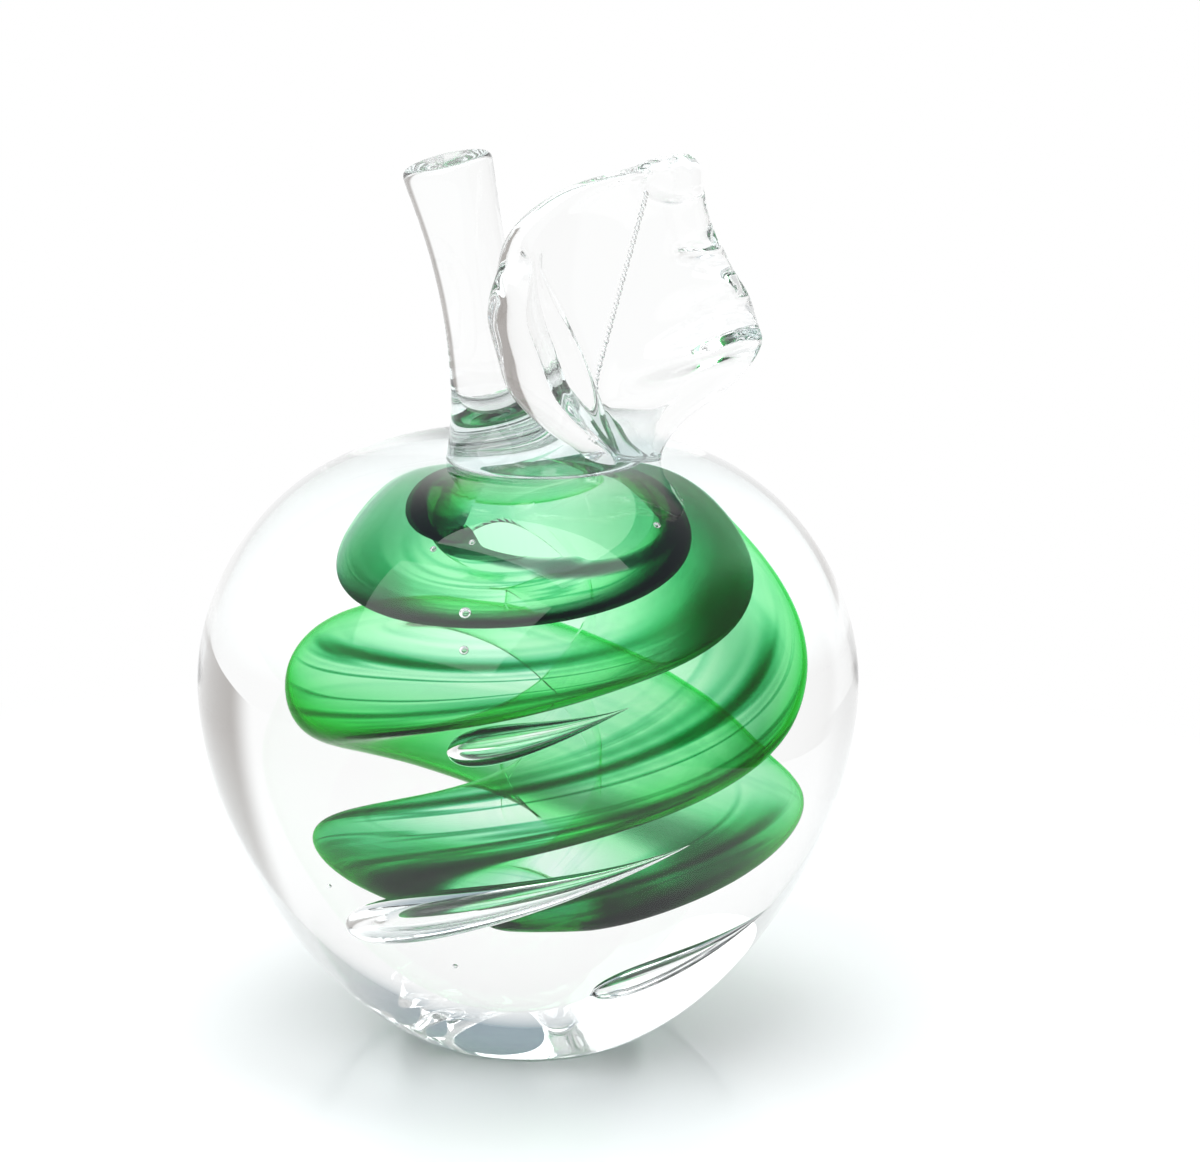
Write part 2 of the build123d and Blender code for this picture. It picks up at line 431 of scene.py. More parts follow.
# %% The green skin
SKIN = 0.65
THINNEST = 0.05
bake_in(
    twist,
    "SOLIDIFY",
    thickness=SKIN * MM,
    offset=-1.0,
    use_even_offset=True,
    vertex_group="thick",
    thickness_vertex_group=THINNEST,
    use_rim=True,
)
bake_in(twist, "SUBSURF", levels=1, render_levels=1)
bpy.ops.object.shade_smooth()
print("green twist", len(twist.data.polygons), "faces")

# %% [markdown]
# The stalk is drawn out of a hot bit of clear glass with the jacks: a flared foot that spread over the
# dimple where it was stuck on, a waist, and a wider top where it was cut. It is one ring pulled along a
# leaning line. Its foot goes about a millimetre into the body, so that light passes from one glass to the
# other as it does where they are fused.

# %% The stalk
STALK_POINTS = 40
# Stations from the foot up: middle, height over the rim, radius, and lean to the left in degrees.
STALK = [
    (2.1, -1.6, 12.0, 0.0),
    (2.1, -0.35, 12.0, 0.0),
    (1.2, 0.0, 10.9, 0.0),
    (-0.4, 0.5, 9.3, 1.0),
    (-1.6, 1.3, 8.0, 2.0),
    (-2.7, 2.7, 6.8, 4.0),
    (-3.5, 4.5, 5.8, 6.0),
    (-4.2, 6.8, 5.0, 8.0),
    (-4.7, 9.5, 4.6, 8.0),
    (-5.2, 14.0, 4.4, 8.5),
    (-6.1, 20.0, 4.4, 10.0),
    (-7.5, 26.5, 4.6, 12.0),
    (-8.7, 31.5, 5.1, 13.0),
    (-9.3, 34.0, 5.4, 13.0),
    (-9.5, 34.8, 5.45, 13.0),
    (-9.6, 35.3, 5.25, 13.0),
    (-9.65, 35.55, 4.8, 13.0),
    (-9.67, 35.63, 4.2, 13.0),
    (-9.68, 35.68, 2.6, 13.0),
    (-9.68, 35.7, 1.0, 13.0),
]
FOOT_RATIOS = (0.7, 0.5, 0.4)
foot_x, foot_height, foot_radius = STALK[0][:3]
foot_place = (foot_x * MM, 0, (RIM_HEIGHT + foot_height) * MM)
stalk = add_ring(STALK_POINTS, foot_radius * MM, foot_place[2], foot_place[0])
before = STALK[0]
for station in STALK[1:]:
    x, height, radius, lean = station
    place = (x * MM, 0, (RIM_HEIGHT + height) * MM)
    pull_ring(place, radius / before[2], ((x - before[0]) * MM, 0, (height - before[1]) * MM))
    if lean != before[3]:
        bpy.ops.transform.rotate(value=radians(lean - before[3]), orient_axis="Y", center_override=place)
    before = station
close_ring()
pick(lambda at: at.z < foot_place[2] + NEAR)
for ratio in FOOT_RATIOS:
    pull_ring(foot_place, ratio, (0, 0, 0))
close_ring()
finish_shell(stalk, "stalk", 2)
print("stalk", len(stalk.data.polygons), "faces")

# %% [markdown]
# The leaf is a flat hot bit, pressed between ribbed jaws and pinched to a knob at its tip. Its left margin
# was turned up towards the viewer and stayed thick, and its right margin waved as it cooled. It could be
# cut from a sheet and bent, but a bent sheet has one thickness. So it is built like the stalk, from one
# closed ring pulled up row by row. Each ring then takes the level cut of the leaf at its height.

# %% Rows of the leaf
# Rows from the foot up: height over the rim, left and right edge, how far the left margin, the middle and
# the right margin stand forward, and how thick the left margin is.
LEAF = [
    (-1.35, 7.6, 15.8, 2.0, 1.8, 1.6, 4.4),
    (1.0, 6.0, 16.0, 3.2, 2.0, 1.6, 4.8),
    (4.5, 1.4, 18.6, 5.4, 2.2, 1.6, 5.4),
    (9.5, -2.9, 24.6, 7.8, 2.4, 2.6, 5.6),
    (14.5, -4.5, 27.6, 8.6, 2.6, 3.2, 5.4),
    (19.5, -5.5, 26.2, 8.6, 2.8, 3.0, 5.0),
    (24.5, -4.1, 23.3, 8.0, 3.0, 2.6, 4.6),
    (29.5, -1.2, 21.2, 6.8, 3.2, 2.4, 4.2),
    (32.6, 3.2, 20.6, 5.4, 3.3, 2.4, 3.8),
    (34.2, 7.2, 20.3, 4.6, 3.3, 2.4, 3.6),
    (35.1, 11.4, 20.1, 4.0, 3.3, 2.4, 3.4),
    (36.75, 15.4, 19.2, 3.3, 3.0, 2.6, 2.2),
]
FOOT, TIP = LEAF[0][0], LEAF[-1][0]


def leaf_row(height):
    """The sizes of the leaf at a height, on a smooth line through the rows."""
    upper = next(k for k in range(1, len(LEAF)) if height <= LEAF[k][0] or k == len(LEAF) - 1)
    rows = [LEAF[min(max(upper + k, 0), len(LEAF) - 1)] for k in (-2, -1, 0, 1)]
    span = rows[2][0] - rows[1][0]
    t = (height - rows[1][0]) / span
    sizes = []
    for k in range(1, 7):
        lead = span * (rows[2][k] - rows[0][k]) / max(rows[2][0] - rows[0][0], span)
        trail = span * (rows[3][k] - rows[1][k]) / max(rows[3][0] - rows[1][0], span)
        sizes.append(
            (2 * t**3 - 3 * t * t + 1) * rows[1][k]
            + (t**3 - 2 * t * t + t) * lead
            + (3 * t * t - 2 * t**3) * rows[2][k]
            + (t**3 - t * t) * trail
        )
    return sizes


# %% The bow and the waves of the leaf
RIGHT_MARGIN = 3.6
WAVE_X = 13.8
# Waves of the right side: how far each stands forward, its height and slope at WAVE_X, its width, and where
# it begins and is full. The first two are a crease, and the last is a notch.
WAVES = [
    (3.2, 11.2, 0.38, 1.8, 9.0, 21.0),
    (-2.2, 14.8, 0.38, 2.0, 14.0, 25.0),
    (-3.4, 24.6, 0.0, 1.5, 16.5, 21.5),
]


def bell(value, middle, width):
    """A smooth bump, 1 at its middle."""
    return exp(-(((value - middle) / width) ** 2))


def leaf_ends(sizes):
    """Left and right ends of the pane's middle line, inside the rounded margins."""
    return sizes[0] + 0.5 * sizes[5], sizes[1] - 0.5 * min(RIGHT_MARGIN, sizes[5])


def leaf_middle(share, height, sizes):
    """Place of the middle of the pane, from the left margin at 0 to the right one at 1."""
    left_out, middle_out, right_out = sizes[2:5]
    first, last = leaf_ends(sizes)
    x = between(first, last, share)
    bow = left_out * (1 - share) * (1 - 2 * share) + 4 * middle_out * share * (1 - share)
    bow -= right_out * share * (1 - 2 * share)
    for forward, level, slope, width, begin, full in WAVES:
        bow += forward * bell(height, level + slope * (x - WAVE_X), width) * eased(x, begin, full)
    return Vector((x, -bow, 0.0))


# %% The turned-up margin and the knob
FOLD_FOOT, FOLD_LEAN, FOLD_BEND = 9.7, 0.13, 0.0107
FOLD_LEAST, FOLD_MOST = 0.08, 0.62
FOLD_RISE = 3.6
FOLD_START, FOLD_END = (-1.0, 4.0), (23.0, 27.5)
FOLD_AT_ROOT = 0.4
FOLD_POWER = 2.5
TROUGH, TROUGH_PLACE, TROUGH_WIDTH = 0.5, 0.45, 0.2
KNOB_X, KNOB_HEIGHT = 16.9, 34.0
KNOB_WIDE, KNOB_TALL = 4.2, 3.0
KNOB_RISE = 1.9
KNOB_CORE = 0.5


def fold_share(height, sizes):
    """Where the turned-up left margin ends on the front of the leaf."""
    first, last = leaf_ends(sizes)
    edge = FOLD_FOOT - FOLD_LEAN * height - FOLD_BEND * height * abs(height)
    return min(max((edge - first) / (last - first), FOLD_LEAST), FOLD_MOST)


def fold_rise(share, edge, height):
    """How far the turned-up margin stands forward: a rounded fold with a trough along it."""
    rise = FOLD_RISE * between(FOLD_AT_ROOT, 1.0, eased(height, *FOLD_START))
    rise *= 1.0 - eased(height, *FOLD_END)
    fold = max(0.0, 1.0 - (share / edge) ** FOLD_POWER) ** 0.5
    return rise * (fold - TROUGH * bell(share, TROUGH_PLACE * edge, TROUGH_WIDTH * edge))


def knob_rise(x, height):
    """How far the pinched knob at the tip stands out."""
    away = Vector(((x - KNOB_X) / KNOB_WIDE, (height - KNOB_HEIGHT) / KNOB_TALL)).length
    return KNOB_RISE * (1.0 - eased(away, KNOB_CORE, 1.0))


# %% One level cut of the leaf
PANE = 2.4
ROOT_EXTRA = 1.5
ROOT_FADE = (2.0, 7.0)
MARGIN_BULGE = 0.58
LEFT_FADE, RIGHT_RISE = (0.0, 0.3), (0.8, 0.96)
FRONT_FOLD, BACK_FOLD, BACK_KNOB = 0.7, 0.3, 0.5
FOLD_POINTS, FLAT_POINTS, MARGIN_POINTS = 12, 20, 4


def rounded(start, end, reach):
    """Points of a rounded margin that bulges out between the two faces of the leaf."""
    middle, across = 0.5 * (start + end), 0.5 * (end - start)
    out = Vector((across.y, -across.x, 0.0)).normalized() * reach
    turns = [pi * (k + 1) / (MARGIN_POINTS + 1) for k in range(MARGIN_POINTS)]
    return [middle - across * cos(turn) + out * sin(turn) for turn in turns]


def closer_at_ends(count):
    """Shares from 0 to 1 that lie closer together at both ends."""
    return [0.5 - 0.5 * cos(pi * k / count) for k in range(count + 1)]


def leaf_loop(height):
    """One closed level cut of the leaf: the front from left to right, then the back."""
    sizes = leaf_row(height)
    margin = sizes[5]
    right_margin = min(RIGHT_MARGIN, margin)
    pane = min(PANE + ROOT_EXTRA * (1.0 - eased(height, *ROOT_FADE)), margin)
    edge = fold_share(height, sizes)
    shares = [edge * share for share in closer_at_ends(FOLD_POINTS)[:-1]]
    shares += [between(edge, 1.0, share) for share in closer_at_ends(FLAT_POINTS)]
    front, back = [], []
    for share in shares:
        here = leaf_middle(share, height, sizes)
        ahead = leaf_middle(share + LOOK_AHEAD, height, sizes)
        ahead -= leaf_middle(share - LOOK_AHEAD, height, sizes)
        square = Vector((ahead.y, -ahead.x, 0.0)).normalized()
        half = 0.5 * between(margin, pane, eased(share, *LEFT_FADE))
        half += 0.5 * max(right_margin - pane, 0.0) * eased(share, *RIGHT_RISE)
        fold = fold_rise(share, edge, height)
        knob = knob_rise(here.x, height)
        front.append(here + square * (half + FRONT_FOLD * fold + knob))
        back.append(here - square * (half - BACK_FOLD * fold + BACK_KNOB * knob))
    loop = rounded(back[0], front[0], MARGIN_BULGE * margin) + front
    loop += rounded(front[-1], back[-1], MARGIN_BULGE * right_margin) + back[::-1]
    return [Vector((at.x, at.y, RIM_HEIGHT + height)) * MM for at in loop]


print("a level cut of the leaf has", len(leaf_loop(FOOT)), "points")

# %% [markdown]
# A pressed leaf has no sharp edge left on it, because it melted a little as it was stuck on. The rings lie
# too close together in the folds for plain subdivision to give that. So the closed shell is built again from
# even small cells, and a smoothing pass melts it.

# %% Pull the leaf up and shape it
LEAF_LEVELS = 56
START_RADIUS = 10.0
END_INSET = 0.3
LEAF_CELL = 0.26
MELT_ROUNDS = 20
levels = [between(FOOT, TIP, k / LEAF_LEVELS) for k in range(LEAF_LEVELS + 1)]
leaf = add_ring(len(leaf_loop(FOOT)), START_RADIUS * MM, (RIM_HEIGHT + FOOT) * MM)
for before, height in zip(levels, levels[1:]):
    pull_ring((0, 0, (RIM_HEIGHT + height) * MM), 1.0, (0, 0, (height - before) * MM))
bpy.ops.object.mode_set(mode="OBJECT")
rings = {}
for vertex in leaf.data.vertices:
    rings.setdefault(round(vertex.co.z / MM - RIM_HEIGHT, 3), []).append(vertex)
for height, ring in rings.items():
    ring.sort(key=lambda vertex: atan2(-vertex.co.y, vertex.co.x))
    for vertex, place in zip(ring, leaf_loop(height)):
        vertex.co = place
bpy.ops.object.mode_set(mode="EDIT")
for end in (FOOT, TIP):
    pick(lambda at: abs(at.z - (RIM_HEIGHT + end) * MM) < NEAR)
    bpy.ops.mesh.edge_face_add()
    bpy.ops.mesh.inset(thickness=END_INSET * MM)
finish_shell(leaf, "leaf_pressed", 1)
bake_in(leaf, "REMESH", mode="VOXEL", voxel_size=LEAF_CELL * MM)
bake_in(leaf, "SMOOTH", factor=0.5, iterations=MELT_ROUNDS)
bpy.ops.object.shade_smooth()
print("leaf melted to", len(leaf.data.polygons), "faces")

# %% [markdown]
# The ribbed jaw left a line of tiny air beads where the midrib of a leaf would be. Each bead is a small hole
# in the middle of the pane, made like the seeds in the body.

# %% The midrib
RIB_FOOT, RIB_TOP = 9.0, 33.0
RIB_X, RIB_LEAN = 5.2, 0.27
BEAD_STEP = 0.56
BEAD_RADIUS, BEAD_CHANGE, BEAD_RHYTHM = 0.37, 0.06, 7.0
BEAD_SQUASH = (0.85, 0.85, 1.0)
beads = []
height = RIB_FOOT
while height < RIB_TOP:
    sizes = leaf_row(height)
    first, last = leaf_ends(sizes)
    middle = leaf_middle((RIB_X + RIB_LEAN * height - first) / (last - first), height, sizes)
    place = Vector((middle.x, middle.y, RIM_HEIGHT + height)) * MM
    radius = BEAD_RADIUS + BEAD_CHANGE * sin(BEAD_RHYTHM * height)
    beads.append(air_ball("bead", place, radius, BEAD_SQUASH, 2))
    height += BEAD_STEP
join_air(leaf, beads)

# %% [markdown]
# Shader maths reads better as expressions than as loose nodes, so one small class wraps a socket.

# %% Shader sums
class Sum:
    """A shader value that ordinary arithmetic can be done with."""

    def __init__(self, tree, socket):
        self.tree = tree
        self.socket = socket

    @staticmethod
    def node(tree, kind, settings=None, sockets=None):
        """A new node: its settings first, then the values or links of its sockets."""
        made = tree.nodes.new(kind)
        for key, value in (settings or {}).items():
            setattr(made, key, value)
        for key, value in (sockets or {}).items():
            if isinstance(value, Sum):
                value = value.socket
            if isinstance(value, bpy.types.NodeSocket):
                tree.links.new(value, made.inputs[key])
            else:
                made.inputs[key].default_value = value
        return made

    def maths(self, operation, a, b=0.0):
        made = Sum.node(self.tree, "ShaderNodeMath", {"operation": operation}, {0: a, 1: b})
        return Sum(self.tree, made.outputs[0])

    def __add__(self, other):
        return self.maths("ADD", self, other)

    __radd__ = __add__

    def __mul__(self, other):
        return self.maths("MULTIPLY", self, other)

    __rmul__ = __mul__

    def __sub__(self, other):
        return self.maths("SUBTRACT", self, other)

    def __rsub__(self, other):
        return self.maths("SUBTRACT", other, self)

    def __truediv__(self, other):
        return self.maths("DIVIDE", self, other)

    def __neg__(self):
        return self * -1.0

    def sine(self):
        return self.maths("SINE", self)

    def cosine(self):
        return self.maths("COSINE", self)

    def angle_from(self, other):
        """The angle whose sine and cosine go as this value and the other."""
        return self.maths("ARCTAN2", self, other)

    def power(self, exponent):
        return self.maths("POWER", self, exponent)

    def exponential(self):
        return self.maths("EXPONENT", self)

    def fraction(self):
        return self.maths("FRACT", self)

    def size(self):
        return self.maths("ABSOLUTE", self)

    def at_most(self, other):
        return self.maths("MINIMUM", self, other)

    def ramp(self, low, high):
        """From 0 at the low value to 1 at the high one, easing in and out."""
        made = Sum.node(
            self.tree,
            "ShaderNodeMapRange",
            {"interpolation_type": "SMOOTHSTEP"},
            {"Value": self, "From Min": low, "From Max": high},
        )
        return Sum(self.tree, made.outputs[0])

    def band(self, middle, core, reach):
        """1 within the core of a band about the middle, easing to 0 at its reach."""
        return 1.0 - (self - middle).size().ramp(core, reach)

    def blend(self, first, second):
        """One colour at 0, the other at 1."""
        made = Sum.node(
            self.tree, "ShaderNodeMix", {"data_type": "RGBA"}, {"Factor": self, 6: first, 7: second}
        )
        return made.outputs[2]


# %% Places in a finish
def new_finish(name):
    """An empty node material with its output node."""
    finish = bpy.data.materials.new(name)
    finish.use_nodes = True
    finish.node_tree.nodes.clear()
    return finish, finish.node_tree, finish.node_tree.nodes.new("ShaderNodeOutputMaterial")


def place_in(tree, kind="Object"):
    """The socket that gives the place of a point."""
    return Sum.node(tree, "ShaderNodeTexCoord").outputs[kind]


def split(tree, place):
    """The three parts of a place, as sums."""
    parts = Sum.node(tree, "ShaderNodeSeparateXYZ", {}, {0: place})
    return [Sum(tree, parts.outputs[k]) for k in range(3)]


def put_on(piece, finish):
    """Makes the finish the only one of the piece."""
    piece.data.materials.clear()
    piece.data.materials.append(finish)


# %% [markdown]
# Clear glass is nothing but its surface: it bends and mirrors what is round it. Hand-worked glass is never
# quite even, so a faint slow ripple tips its surface. The foot of the stalk and the root of the leaf are
# given
# a painted shade: those two finishes turn a little grey-teal low down, in place of the shade the glass shows
# there.

# %% Clear glass
CLEAR = (0.996, 1.0, 0.998, 1.0)
# Colour of the painted shade low on the stalk's foot and the leaf's root, and how far it fades, in mm.
PAINTED_SHADE = (0.78, 0.85, 0.85, 1.0)
PAINTED_SHADE_FADE = 1.2
GLASS_INDEX = 1.5


def clear_glass(name, ripple_size, ripple_depth, painted_shade_below=None):
    """Clear glass with a faint ripple, and a painted grey-teal shade below a height where one is given, all
    in mm.
    """
    finish, tree, output = new_finish(name)
    place = place_in(tree)
    tint = CLEAR
    if painted_shade_below is not None:
        height = split(tree, place)[2] * (1.0 / MM)
        # Painted shade: below the given height the glass turns grey-teal.
        tint = height.ramp(painted_shade_below - PAINTED_SHADE_FADE, painted_shade_below).blend(PAINTED_SHADE, CLEAR)
    ripple = Sum.node(
        tree,
        "ShaderNodeTexNoise",
        {"noise_dimensions": "3D"},
        {"Vector": place, "Scale": 1.0 / (ripple_size * MM), "Detail": 2.0, "Roughness": 0.4},
    )
    bump = Sum.node(
        tree,
        "ShaderNodeBump",
        {},
        {"Height": ripple.outputs[0], "Distance": ripple_depth * MM, "Strength": 1.0},
    )
    glass = Sum.node(
        tree,
        "ShaderNodeBsdfPrincipled",
        {},
        {
            "Base Color": tint,
            "Roughness": 0.0,
            "IOR": GLASS_INDEX,
            "Transmission Weight": 1.0,
            "Normal": bump.outputs[0],
        },
    )
    tree.links.new(glass.outputs[0], output.inputs["Surface"])
    return finish


put_on(body, clear_glass("body_glass", 14.0, 0.02))
# The foot of the stalk and the root of the leaf get painted grey-teal shade low down.
put_on(stalk, clear_glass("stalk_glass", 20.0, 0.005, RIM_HEIGHT + 2.4))
put_on(leaf, clear_glass("leaf_glass", 6.0, 0.02, RIM_HEIGHT + 3.0))
print("clear glass on", [piece.name for piece in (body, stalk, leaf)])

# %% [markdown]
# The green skin lies between two clear glasses of nearly its own index, so its faces hardly bend light. Its
# colour comes from what it swallows on the way through, so a skin seen edge-on is deep and one seen flat is
# pale. The bar of colour was never even, and the twist drew its streaks out along the grooves. Turning each
# place back by the turn of the twist gives coordinates in which such a streak is a plain spot.

# %% Places on the twist
finish, tree, output = new_finish("green_glass_skin")
x, y, z = (part * (1.0 / MM) for part in split(tree, place_in(tree)))
x = x - TWIST_X
above = z - TIGHT_HEIGHT
above = 0.5 * (above + (above * above + TIGHT_EASE**2).power(0.5))
turn = (z - GROOVE_HEIGHT) * (1.0 / GROOVE_PITCH) + above * (1.0 / TOP_PITCH - 1.0 / GROOVE_PITCH)
turn = turn * (2.0 * pi) + radians(GROOVE_ANGLE)
along = x * turn.cosine() + y * turn.sine()
across = y * turn.cosine() - x * turn.sine()
offset = 0.5 - (across.angle_from(along) * (1.0 / pi)).fraction()
reach = (x * x + y * y).power(0.5)
rise = (z - BARREL_MIDDLE) * (1.0 / BARREL_ABOVE)
barrel_reach = BARREL_RADIUS * (1.0 - rise * rise).power(0.5)
print("places on the twist,", len(tree.nodes), "nodes so far")

# %% Zones of the twist
LOW_TURNS = (26.0, 36.0)
TOP_TURNS = (46.0, 52.0)
CROWN = (50.5, 52.5)
FRONT = (-6.0, 6.0)
OUTER_BAND = (0.55, 0.85)
EVEN_SHARE = 0.2
low_down = 1.0 - z.ramp(*LOW_TURNS)
high_up = z.ramp(*TOP_TURNS)
front = (-y).ramp(*FRONT)
full_reach = EVEN_SHARE * BARREL_RADIUS + (1.0 - EVEN_SHARE) * barrel_reach
outside = (reach / full_reach).ramp(*OUTER_BAND)
print("zones of the twist,", len(tree.nodes), "nodes so far")

# %% [markdown]
# Several kinds of mark carry the colour. Hair lines and clouds come from one stretched noise. Two ropes
# run along each lobe. The low turns, the sides and back of the top, and the tail at the bottom took up
# more colour than the rest. Last, the under side of each lobe and the lip of the open top have rims that
# are nearly black.

# %% Streaks
STRETCH = (12.0, 0.25, 0.1)
STREAK_SCALE = 0.55
LINE, LINE_BAND = 0.6, (0.47, 0.0, 0.035)
CLOUD, CLOUD_RAMP = 0.5, (0.52, 0.66)
unwound = Sum.node(
    tree, "ShaderNodeCombineXYZ", {}, {0: offset * STRETCH[0], 1: reach * STRETCH[1], 2: z * STRETCH[2]}
)
streak = Sum.node(
    tree,
    "ShaderNodeTexNoise",
    {"noise_dimensions": "3D"},
    {"Vector": unwound.outputs[0], "Scale": STREAK_SCALE, "Detail": 2.0, "Roughness": 0.5},
)
streak = Sum(tree, streak.outputs[0])
streaks = LINE * streak.band(*LINE_BAND) + CLOUD * streak.ramp(*CLOUD_RAMP)
print("streaks,", len(tree.nodes), "nodes so far")

# %% Deeper colour in places
LOW, BACK = 0.75, 0.13
TAIL, TAIL_BAND, TAIL_TOP = 1.4, (7.5, 1.5, 4.5), (25.0, 29.0)
RIGHT, RIGHT_RAMP = 0.45, (6.0, 15.0)
LEFT, LEFT_RAMP = 0.1575, (8.0, 15.0)
tail = x.band(*TAIL_BAND) * (1.0 - z.ramp(*TAIL_TOP))
sides = RIGHT * x.ramp(*RIGHT_RAMP) + LEFT * (-x).ramp(*LEFT_RAMP)
drawn = streaks * (1.0 - 0.5 * high_up) + LOW * low_down + TAIL * tail + sides * high_up
drawn = drawn * (0.05 + 0.95 * outside) * (0.1 + 0.9 * front)
drawn = drawn + BACK * (1.0 - front) * z.ramp(*CROWN)
print("deeper colour,", len(tree.nodes), "nodes so far")

# %% Ropes and rims
ROPE, ROPE_BAND = 1.3, (0.24, 0.0, 0.04)
LOW_ROPE, LOW_ROPE_BAND = 0.91, (-0.13, 0.0, 0.03)
LIP, LIP_BAND = 0.7, (55.9, 0.1, 0.5)
UNDER_RIM, TOP_RIM = (0.20, 0.31), (0.06, 0.15)
ropes = ROPE * offset.band(*ROPE_BAND) + LOW_ROPE * offset.band(*LOW_ROPE_BAND)
drawn = drawn + ropes * outside * front * (1.0 - high_up)
rim = (0.05 * low_down - offset).ramp(*UNDER_RIM) * (0.25 + 0.75 * low_down)
rim = rim + (-offset).ramp(*TOP_RIM) * high_up + LIP * z.band(*LIP_BAND) * front
rim = rim.at_most(1.0) * outside * (0.4 + 0.6 * front)
print("ropes and rims,", len(tree.nodes), "nodes so far")

# %% Green glass
SKIN_INDEX = 1.008
SKIN_COLOUR = (0.0, 0.86, 0.27, 1.0)
SKIN_DENSITY = 980.0
# How strongly the drawn colour and the rims take red, green and blue.
TAKEN = ((4.4, 3.8), (1.4, 3.3), (2.4, 3.3))
left_over = [(-by_drawn * drawn - by_rim * rim).exponential() for by_drawn, by_rim in TAKEN]
tint = Sum.node(tree, "ShaderNodeCombineColor", {}, dict(enumerate(left_over))).outputs[0]
skin = Sum.node(
    tree,
    "ShaderNodeBsdfPrincipled",
    {},
    {"Base Color": tint, "Roughness": 0.0, "IOR": SKIN_INDEX, "Transmission Weight": 1.0},
)
depth = Sum.node(
    tree, "ShaderNodeVolumeAbsorption", {}, {"Color": SKIN_COLOUR, "Density": SKIN_DENSITY}
)
tree.links.new(skin.outputs[0], output.inputs["Surface"])
tree.links.new(depth.outputs[0], output.inputs["Volume"])
put_on(twist, finish)
print("green glass with", len(tree.nodes), "nodes on", twist.name)

# %% [markdown]
# Every new piece now rides on the one rigid body and stands for its CAD node. The clear core inside the
# skin is the same glass as the body, so the body stands for both.

# %% Tie the pieces to the frame
for piece, slot, nodes in (
    (body, "clear_glass", ("clear_casing", "clear_core")),
    (twist, "green_glass", ("green_overlay",)),
    (stalk, "clear_glass", ("stem",)),
    (leaf, "clear_glass", ("leaf",)),
):
    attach(piece, "root")
    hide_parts(*nodes)
    print(piece.name, "stands for", nodes)

# %% [markdown]
# The stage is a white sweep under soft light. Close to the apple the floor is a pale glossy board that takes
# the shadow, and further out it fades into the white of the sweep. It lies a tenth of a millimetre under the
# base, so that light can leave the glass there.

# %% Floor
WHITE = (1.0, 1.0, 1.0, 1.0)
BOARD = (0.89, 0.925, 0.93, 1.0)
BOARD_SIZE = (0.48, 0.8, 1.0)
BOARD_PLACE = (-0.11, 0.1, -0.1 * MM)
SHADOW_RADIUS, SWEEP_RADIUS = 0.05, 0.16
clear_hands()
bpy.ops.mesh.primitive_plane_add(size=1.0, location=(0, 0, 0))
bpy.ops.object.mode_set(mode="EDIT")
bpy.ops.transform.resize(value=BOARD_SIZE)
bpy.ops.transform.translate(value=BOARD_PLACE)
bpy.ops.object.mode_set(mode="OBJECT")
floor = bpy.context.object
floor.name = "floor"
finish, tree, output = new_finish("white_floor")
x, y = split(tree, place_in(tree))[:2]
far = (x * x + y * y).ramp(SHADOW_RADIUS**2, SWEEP_RADIUS**2)
paint = Sum.node(
    tree, "ShaderNodeBsdfPrincipled", {}, {"Base Color": BOARD, "Roughness": 0.18, "IOR": 1.4}
)
sweep = Sum.node(tree, "ShaderNodeEmission", {}, {"Color": WHITE, "Strength": 1.0})
mixed = Sum.node(tree, "ShaderNodeMixShader", {}, {0: far, 1: paint.outputs[0], 2: sweep.outputs[0]})
tree.links.new(mixed.outputs[0], output.inputs["Surface"])
put_on(floor, finish)
print("floor", BOARD_SIZE[:2], "m")

# %% [markdown]
# Glass on white needs something darker round it to show its edges. So what the glass mirrors and bends is a
# sky that falls to grey overhead and is dimmer at the sides and behind the camera, while the camera itself
# and the floor see plain white.

# %% Sky
world = bpy.data.worlds.new("studio")
bpy.context.scene.world = world
world.use_nodes = True
tree = world.node_tree
tree.nodes.clear()
x, y, z = split(tree, place_in(tree, "Generated"))
# Dim zones: the way they lie, where they begin and are full, how strong they are, and their colour.
zones = [
    (z, 0.5, 0.9, 0.9, (0.25, 0.35, 0.41, 1.0)),
    (x, 0.68, 0.80, 0.85, (0.28, 0.25, 0.23, 1.0)),
    (-x, 0.75, 0.98, 0.3, (0.3, 0.3, 0.3, 1.0)),
    (-y, 0.3, 0.6, 0.3, (0.04, 0.07, 0.08, 1.0)),
]
tone = WHITE
for way, begin, full, strength, colour in zones:
    tone = (strength * way.ramp(begin, full)).blend(tone, colour)
path = Sum.node(tree, "ShaderNodeLightPath")
plain = Sum(tree, path.outputs["Is Camera Ray"]) + Sum(tree, path.outputs["Is Diffuse Ray"])
tone = plain.at_most(1.0).blend(tone, WHITE)
sky = Sum.node(tree, "ShaderNodeBackground", {}, {"Color": tone, "Strength": 1.0})
Sum.node(tree, "ShaderNodeOutputWorld", {}, {"Surface": sky.outputs[0]})
print("sky with", len(zones), "dim zones")

# %% [markdown]
# Two soft boxes, one high at the front left and one overhead, give the shadow and the bright shapes on the
# shoulders. Big boxes close by make soft edges, as in a small studio.

# %% Lamps
LAMP_AIM = (0, 0, 0.05)


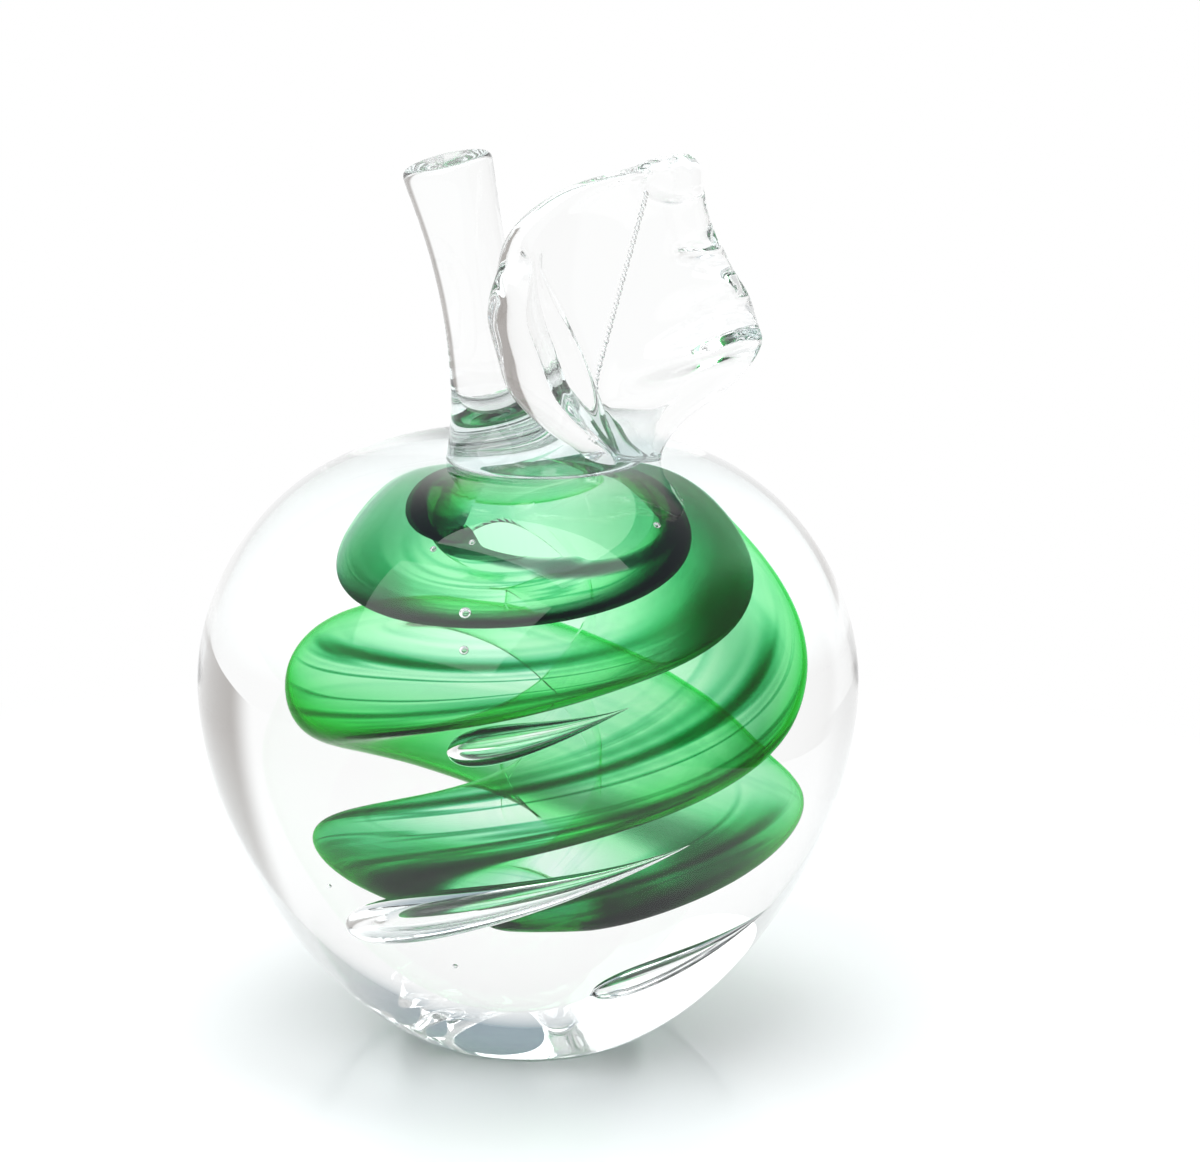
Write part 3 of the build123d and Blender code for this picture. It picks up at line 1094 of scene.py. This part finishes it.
def soft_lamp(name, place, size, power):
    """A soft box that points at the apple."""
    clear_hands()
    bpy.ops.object.light_add(type="AREA", location=place)
    lamp = bpy.context.object
    lamp.name = name
    lamp.data.shape = "RECTANGLE"
    lamp.data.size, lamp.data.size_y = size
    lamp.data.energy = power
    lamp.rotation_euler = (Vector(LAMP_AIM) - Vector(place)).to_track_quat("-Z", "Y").to_euler()
    print(name, power, "W")


soft_lamp("key_box", (-0.38, -0.42, 0.75), (0.9, 0.66), 3.6)
soft_lamp("top_box", (0.05, 0.05, 1.0), (0.75, 0.4), 2.4)

# %% [markdown]
# The camera stands where the photo was taken from: in front, sixteen degrees above the level, with a long
# lens. The lens follows from how many pixels of the photo a millimetre takes up, and the two shifts from
# where the middle of the apple lies in the photo.

# %% Camera
VIEW_HEIGHT = radians(16.0)
DISTANCE = 0.7
AIM = Vector((0, 0, 0.04))
SENSOR = 36.0
PHOTO_WIDTH = 1200.0
PHOTO_MIDDLE_X, PHOTO_MIDDLE_Y = 600.0, 581.0
AIM_X, AIM_Y = 528.0, 707.1
PIXELS_PER_MM = 8.26
clear_hands()
bpy.ops.object.camera_add(location=AIM + Vector((0, -cos(VIEW_HEIGHT), sin(VIEW_HEIGHT))) * DISTANCE)
camera = bpy.context.object
camera.rotation_euler = (AIM - camera.location).to_track_quat("-Z", "Y").to_euler()
camera.data.sensor_width = SENSOR
camera.data.lens = PIXELS_PER_MM * DISTANCE / MM * SENSOR / PHOTO_WIDTH
camera.data.shift_x = (PHOTO_MIDDLE_X - AIM_X) / PHOTO_WIDTH
camera.data.shift_y = (AIM_Y - PHOTO_MIDDLE_Y) / PHOTO_WIDTH
camera.data.clip_start = 0.01
bpy.context.scene.camera = camera
print("lens", round(camera.data.lens, 1), "mm")

# %% [markdown]
# Light crosses many faces on its way through the body, the skin and the bubbles. Each crossing is a
# bounce, and a path that runs out of bounces goes black, so glass needs more of them than most scenes do.

# %% Light bounces and colour
scene = bpy.context.scene
scene.view_settings.view_transform = "Standard"
scene.cycles.max_bounces = 32
scene.cycles.transmission_bounces = 32
scene.cycles.glossy_bounces = 12
print("bounces", scene.cycles.max_bounces)

# %% [markdown]
# Last, nothing is left selected.

# %% Hand over
clear_hands()
